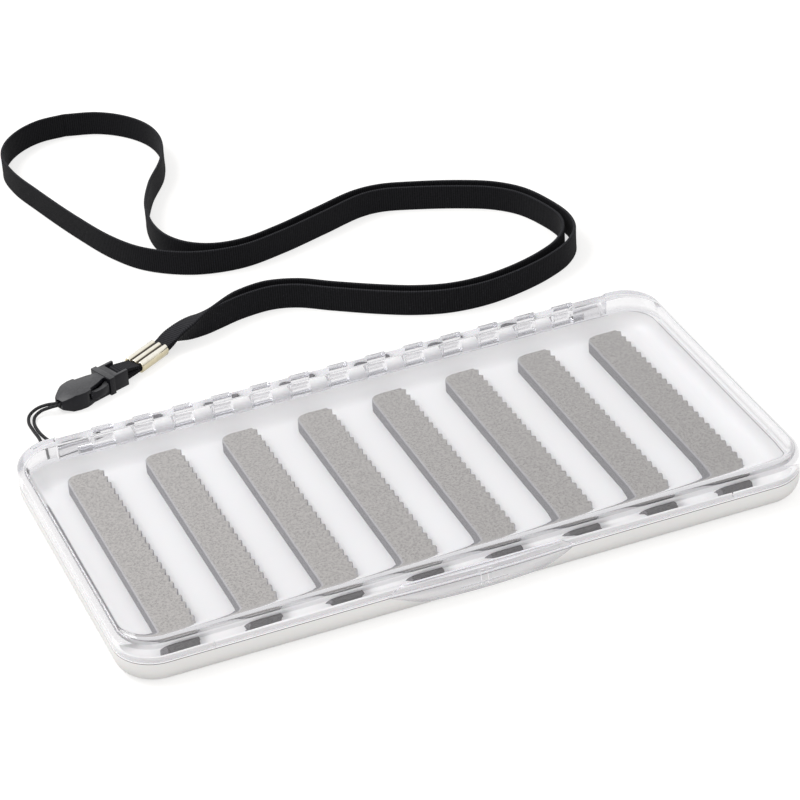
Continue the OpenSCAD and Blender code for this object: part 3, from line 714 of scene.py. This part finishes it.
def crimpPiece(setup):
    turn = math.radians(setup["turn"])
    ahead = np.array([math.cos(turn), math.sin(turn), 0])
    across = np.array([-math.sin(turn), math.cos(turn), 0])
    last, lip, bend = setup["length"], setup["lip"], setup["lip"] * setup["lipShare"]
    stations = [(0, 0, True), (0, lip, False), (bend, bend, False), (lip, 0, False),
                (last - lip, 0, False), (last - bend, bend, False), (last, lip, False), (last, 0, True)]
    points, depths, n, m = [], [], setup["around"], len(stations)
    for at, draw, bore in stations:
        ring, hollow = crimpRing(setup, draw, bore)
        points += [(np.array(setup["start"]) + at * ahead + v * across + (0, 0, w)) * mm for v, w in ring]
        depths += hollow
    faces = [(i * n + k, i * n + (k + 1) % n, ((i + 1) % m) * n + (k + 1) % n, ((i + 1) % m) * n + k)
             for i in range(m) for k in range(n)]
    mesh = meshFrom("metalCrimp", points, faces)
    groove = mesh.attributes.new("hollow", "FLOAT", "POINT")
    groove.data.foreach_set("value", depths)
    work = bmesh.new()
    work.from_mesh(mesh)
    bmesh.ops.recalc_face_normals(work, faces=work.faces)
    work.to_mesh(mesh)
    work.free()
    mesh.materials.append(finishes["crimp"])
    mesh.set_sharp_from_angle(angle=math.radians(setup["smoothUnder"]))
    piece = addObject("metalCrimp", mesh)
    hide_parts("strap_crimp")
    return piece


crimp = crimpPiece(crimpSetup)


# the wedge is cut over each prong, from its floor up
hardwareSetup = {
    "socketBevel": 0.25, "insertBevel": 0.2, "prongBevel": 0.22, "nose": (-71.5, 82.4), "turn": 21,
    "wedge": [(8.6, 3.5), (12, 2.75), (14.2, 2.0), (15.1, 1.9), (15.1, 5.5), (8.6, 5.5)],
    "wedgeFloor": 3.9, "wedgeTop": 6.0,
}


def buckleSpot(u, v, setup):
    turn = math.radians(setup["turn"])
    c, s = math.cos(turn), math.sin(turn)
    return ((setup["nose"][0] + u * c - v * s) * mm, (setup["nose"][1] + u * s + v * c) * mm)


wedges = [([buckleSpot(u, side * v, hardwareSetup) for u, v in hardwareSetup["wedge"]],
           hardwareSetup["wedgeFloor"] * mm, hardwareSetup["wedgeTop"] * mm) for side in (1, -1)]
socket = dressedNode("buckle_socket", "buckleSocket", finishes["buckle"],
                     hardwareSetup["socketBevel"], cuts=wedges)
insert = dressedNode("buckle_insert", "buckleInsert", finishes["buckle"], hardwareSetup["insertBevel"])
prongs = {side: dressedNode("buckle_prong_" + side, "buckleProng_" + side, finishes["buckle"],
                            hardwareSetup["prongBevel"]) for side in ("left", "right")}
knot = dressedNode("cord_knot", "cordKnot", finishes["cord"], 0)
print("lanyard hardware dressed")


# foam strips; the rows run along a strip, ten to a tooth
foamSetup = {
    "count": 8, "pitch": 22.0, "width": 10.6, "length": 81.4, "thickness": 3.65, "floor": 1.8,
    "rows": 254, "rowsPerTooth": 10, "teeth": 25, "firstRow": 2, "toothDepth": 1.0, "steepPart": 0.2,
    "corner": 3.0, "softEdge": 0.3, "toothEdge": 0.5, "smoothUnder": 52,
    "columns": 9, "layers": 4, "topFrom": 0.9, "nextFrom": 0.2,
    # painted light falloff: the strips' colours are scaled from the first tone to the last
    "firstStripLight": 1.0, "lastStripLight": 0.76,
}


def foamTree(setup, material):
    tree = bpy.data.node_groups.new("toothedStrip", "GeometryNodeTree")
    face = tree.interface
    face.new_socket("Geometry", in_out="OUTPUT", socket_type="NodeSocketGeometry")
    for key in ("Width", "Length", "Thickness", "Tooth Pitch", "Tooth Depth", "Steep Part", "First Tooth",
                "Teeth", "Corner Radius", "Soft Edge", "Middle X", "Floor Z"):
        face.new_socket(key, in_out="INPUT", socket_type="NodeSocketFloat")
    face.new_socket("Rows", in_out="INPUT", socket_type="NodeSocketInt")
    entry = tree.nodes.new("NodeGroupInput")
    leave = tree.nodes.new("NodeGroupOutput")

    def calc(operation, *values):
        return mathNode(tree, operation, [entry.outputs[v] if isinstance(v, str) else v for v in values])

    node = tree.nodes.new
    size = node("ShaderNodeCombineXYZ")
    for i, key in enumerate(("Width", "Length", "Thickness")):
        tree.links.new(entry.outputs[key], size.inputs[i])
    block = node("GeometryNodeMeshCube")
    tree.links.new(size.outputs[0], block.inputs["Size"])
    block.inputs["Vertices X"].default_value = setup["columns"]
    block.inputs["Vertices Z"].default_value = setup["layers"]
    tree.links.new(entry.outputs["Rows"], block.inputs["Vertices Y"])
    here = node("ShaderNodeSeparateXYZ")
    tree.links.new(node("GeometryNodeInputPosition").outputs[0], here.inputs[0])
    x, y, z = here.outputs
    halfWidth, halfLength = calc("DIVIDE", "Width", 2), calc("DIVIDE", "Length", 2)
    halfThickness = calc("DIVIDE", "Thickness", 2)
    # the top edge is rounded over: the layer below it rises, the top one draws in
    layer = calc("DIVIDE", z, halfThickness)
    isTop = calc("GREATER_THAN", layer, setup["topFrom"])
    isNext = calc("MULTIPLY", calc("GREATER_THAN", layer, setup["nextFrom"]),
                  calc("LESS_THAN", layer, setup["topFrom"]))
    layerStep = calc("MULTIPLY", halfThickness, 2 / (setup["layers"] - 1))
    climb = calc("MULTIPLY", isNext, calc("SUBTRACT", layerStep, "Soft Edge"))
    drawIn = calc("MULTIPLY", isTop, "Soft Edge")
    # plain corners
    fromEnd = calc("SUBTRACT", halfLength, calc("ABSOLUTE", y))
    short = calc("MAXIMUM", calc("SUBTRACT", "Corner Radius", fromEnd), 0)
    radiusSquare = calc("MULTIPLY", "Corner Radius", "Corner Radius")
    shortSquare = calc("MULTIPLY", short, short)
    rise = calc("SQRT", calc("MAXIMUM", calc("SUBTRACT", radiusSquare, shortSquare), 0))
    plainInset = calc("ADD", calc("SUBTRACT", "Corner Radius", rise), drawIn)
    # saw teeth, counted from the rear: out steeply, back slowly
    run = calc("SUBTRACT", calc("DIVIDE", calc("SUBTRACT", halfLength, y), "Tooth Pitch"), "First Tooth")
    phase = calc("FRACT", run)
    tooth = calc("MINIMUM", calc("DIVIDE", phase, "Steep Part"),
                 calc("DIVIDE", calc("SUBTRACT", 1, phase), calc("SUBTRACT", 1, "Steep Part")))
    inRow = calc("MULTIPLY", calc("GREATER_THAN", run, 0), calc("LESS_THAN", run, "Teeth"))
    notch = calc("SUBTRACT", 1, calc("MULTIPLY", tooth, inRow))
    toothInset = calc("ADD", calc("MULTIPLY", "Tooth Depth", notch),
                      calc("MULTIPLY", drawIn, setup["toothEdge"]))
    plainSide = calc("SUBTRACT", plainInset, halfWidth)
    toothSide = calc("SUBTRACT", halfWidth, toothInset)
    share = calc("DIVIDE", calc("ADD", calc("DIVIDE", x, halfWidth), 1), 2)
    newX = calc("ADD", plainSide, calc("MULTIPLY", share, calc("SUBTRACT", toothSide, plainSide)))
    newY = calc("MULTIPLY", y, calc("SUBTRACT", 1, calc("DIVIDE", drawIn, halfLength)))
    spot = node("ShaderNodeCombineXYZ")
    tree.links.new(calc("ADD", newX, "Middle X"), spot.inputs[0])
    tree.links.new(newY, spot.inputs[1])
    tree.links.new(calc("ADD", calc("ADD", z, climb), calc("ADD", halfThickness, "Floor Z")), spot.inputs[2])
    shape = node("GeometryNodeSetPosition")
    tree.links.new(block.outputs["Mesh"], shape.inputs["Geometry"])
    tree.links.new(spot.outputs[0], shape.inputs["Position"])
    real = node("GeometryNodeRealizeInstances")
    tree.links.new(shape.outputs[0], real.inputs[0])
    paint = node("GeometryNodeSetMaterial")
    paint.inputs["Material"].default_value = material
    tree.links.new(real.outputs[0], paint.inputs[0])
    tree.links.new(paint.outputs[0], leave.inputs[0])
    return tree


def foamStrip(index, setup):
    # painted light falloff: each strip is painted darker than the one before
    paintedLightFalloff = (setup["lastStripLight"] - setup["firstStripLight"]) * (index - 1) / (setup["count"] - 1)
    material = foamSkin(index, setup["firstStripLight"] + paintedLightFalloff, foamLook)
    tree = foamTree(setup, material)
    piece = addObject("foamStrip_%d" % index, bpy.data.meshes.new("foamStrip_%d" % index))
    grow = piece.modifiers.new("strip", "NODES")
    grow.node_group = tree
    values = {
        "Width": setup["width"] * mm, "Length": setup["length"] * mm, "Thickness": setup["thickness"] * mm,
        "Tooth Pitch": setup["length"] / setup["rows"] * setup["rowsPerTooth"] * mm,
        "Tooth Depth": setup["toothDepth"] * mm, "Steep Part": setup["steepPart"],
        "First Tooth": setup["firstRow"] / setup["rowsPerTooth"], "Teeth": float(setup["teeth"]),
        "Corner Radius": setup["corner"] * mm, "Soft Edge": setup["softEdge"] * mm,
        "Floor Z": setup["floor"] * mm,
        "Middle X": (index - (setup["count"] + 1) / 2) * setup["pitch"] * mm, "Rows": setup["rows"] + 1,
    }
    for item in tree.interface.items_tree:
        if item.in_out == "INPUT":
            grow[item.identifier] = values[item.name]
    settle(piece, setup["smoothUnder"])
    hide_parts("foam_strip_%d" % index)
    return piece


strips = [foamStrip(i + 1, foamSetup) for i in range(foamSetup["count"])]
print("foam strips cut:", len(strips))


# what each piece moves with
onBox = [tray, pin, crimp, socket, insert, knot, outerStrap, innerStrap, barFold, eyeCord]
for piece in onBox + lugs + strips:
    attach(piece, "box")
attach(lid, "lid")
for side, piece in prongs.items():
    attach(piece, "prong_" + side)
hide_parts("strap_outer")
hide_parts("strap_inner")
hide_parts("strap_fold")
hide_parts("cord_loop")

print("pieces riding")


# studio
studioSetup = {
    "floorSize": 6.0, "floorZ": -0.00005, "floorColour": (0.42, 0.412, 0.4, 1), "floorGlow": 0.66,
    "worldLevel": 0.72,
    "lamps": (
        {"name": "keyLamp", "place": (-0.7, 0.5, 1.1), "aim": (0, 0.05, 0),
         "size": (0.9, 0.6), "power": 10.8},
        {"name": "fillLamp", "place": (-0.1, -1.0, 0.6), "aim": (0, 0, 0),
         "size": (0.9, 0.8), "power": 3.6},
    ),
}


# 1 where the eye, a gloss or a clear piece shows the background
def seenShare(tree):
    path = tree.nodes.new("ShaderNodeLightPath")
    share = path.outputs["Is Camera Ray"]
    for ray in ("Is Glossy Ray", "Is Transmission Ray"):
        share = mathNode(tree, "MAXIMUM", (share, path.outputs[ray]))
    return share


def makeFloor(setup):
    half = setup["floorSize"] / 2
    corners = [(x * half, y * half, setup["floorZ"]) for x, y in ((-1, -1), (1, -1), (1, 1), (-1, 1))]
    floor = addObject("studioFloor", meshFrom("studioFloor", corners, [(0, 1, 2, 3)]))
    m = Shelf("floorPaper")
    m.set(Base_Color=setup["floorColour"], Roughness=0.9, Specular_IOR_Level=0.1)
    m.set(Emission_Color=(1, 1, 1, 1))
    m.feed("Emission Strength", m.calc("MULTIPLY", seenShare(m.tree), setup["floorGlow"]))
    floor.data.materials.append(m.material)


def makeWorld(setup):
    world = bpy.data.worlds.new("studioWorld")
    world.use_nodes = True
    scene.world = world
    tree = world.node_tree
    back = tree.nodes["Background"]
    back.inputs["Color"].default_value = (1, 1, 1, 1)
    level = tree.nodes.new("ShaderNodeMapRange")
    level.inputs["To Min"].default_value = setup["worldLevel"]
    level.inputs["To Max"].default_value = 1
    tree.links.new(seenShare(tree), level.inputs["Value"])
    tree.links.new(level.outputs["Result"], back.inputs["Strength"])


def makeLamp(setup):
    lampData = bpy.data.lights.new(setup["name"], "AREA")
    lampData.shape = "RECTANGLE"
    lampData.size, lampData.size_y = setup["size"]
    lampData.energy = setup["power"]
    lamp = bpy.data.objects.new(setup["name"], lampData)
    lamp.location = setup["place"]
    ahead = Vector(setup["aim"]) - Vector(setup["place"])
    lamp.rotation_euler = ahead.to_track_quat("-Z", "Y").to_euler()
    scene.collection.objects.link(lamp)


makeFloor(studioSetup)
makeWorld(studioSetup)
for lampSetup in studioSetup["lamps"]:
    makeLamp(lampSetup)
scene.view_settings.view_transform = "Standard"
print("studio lit")
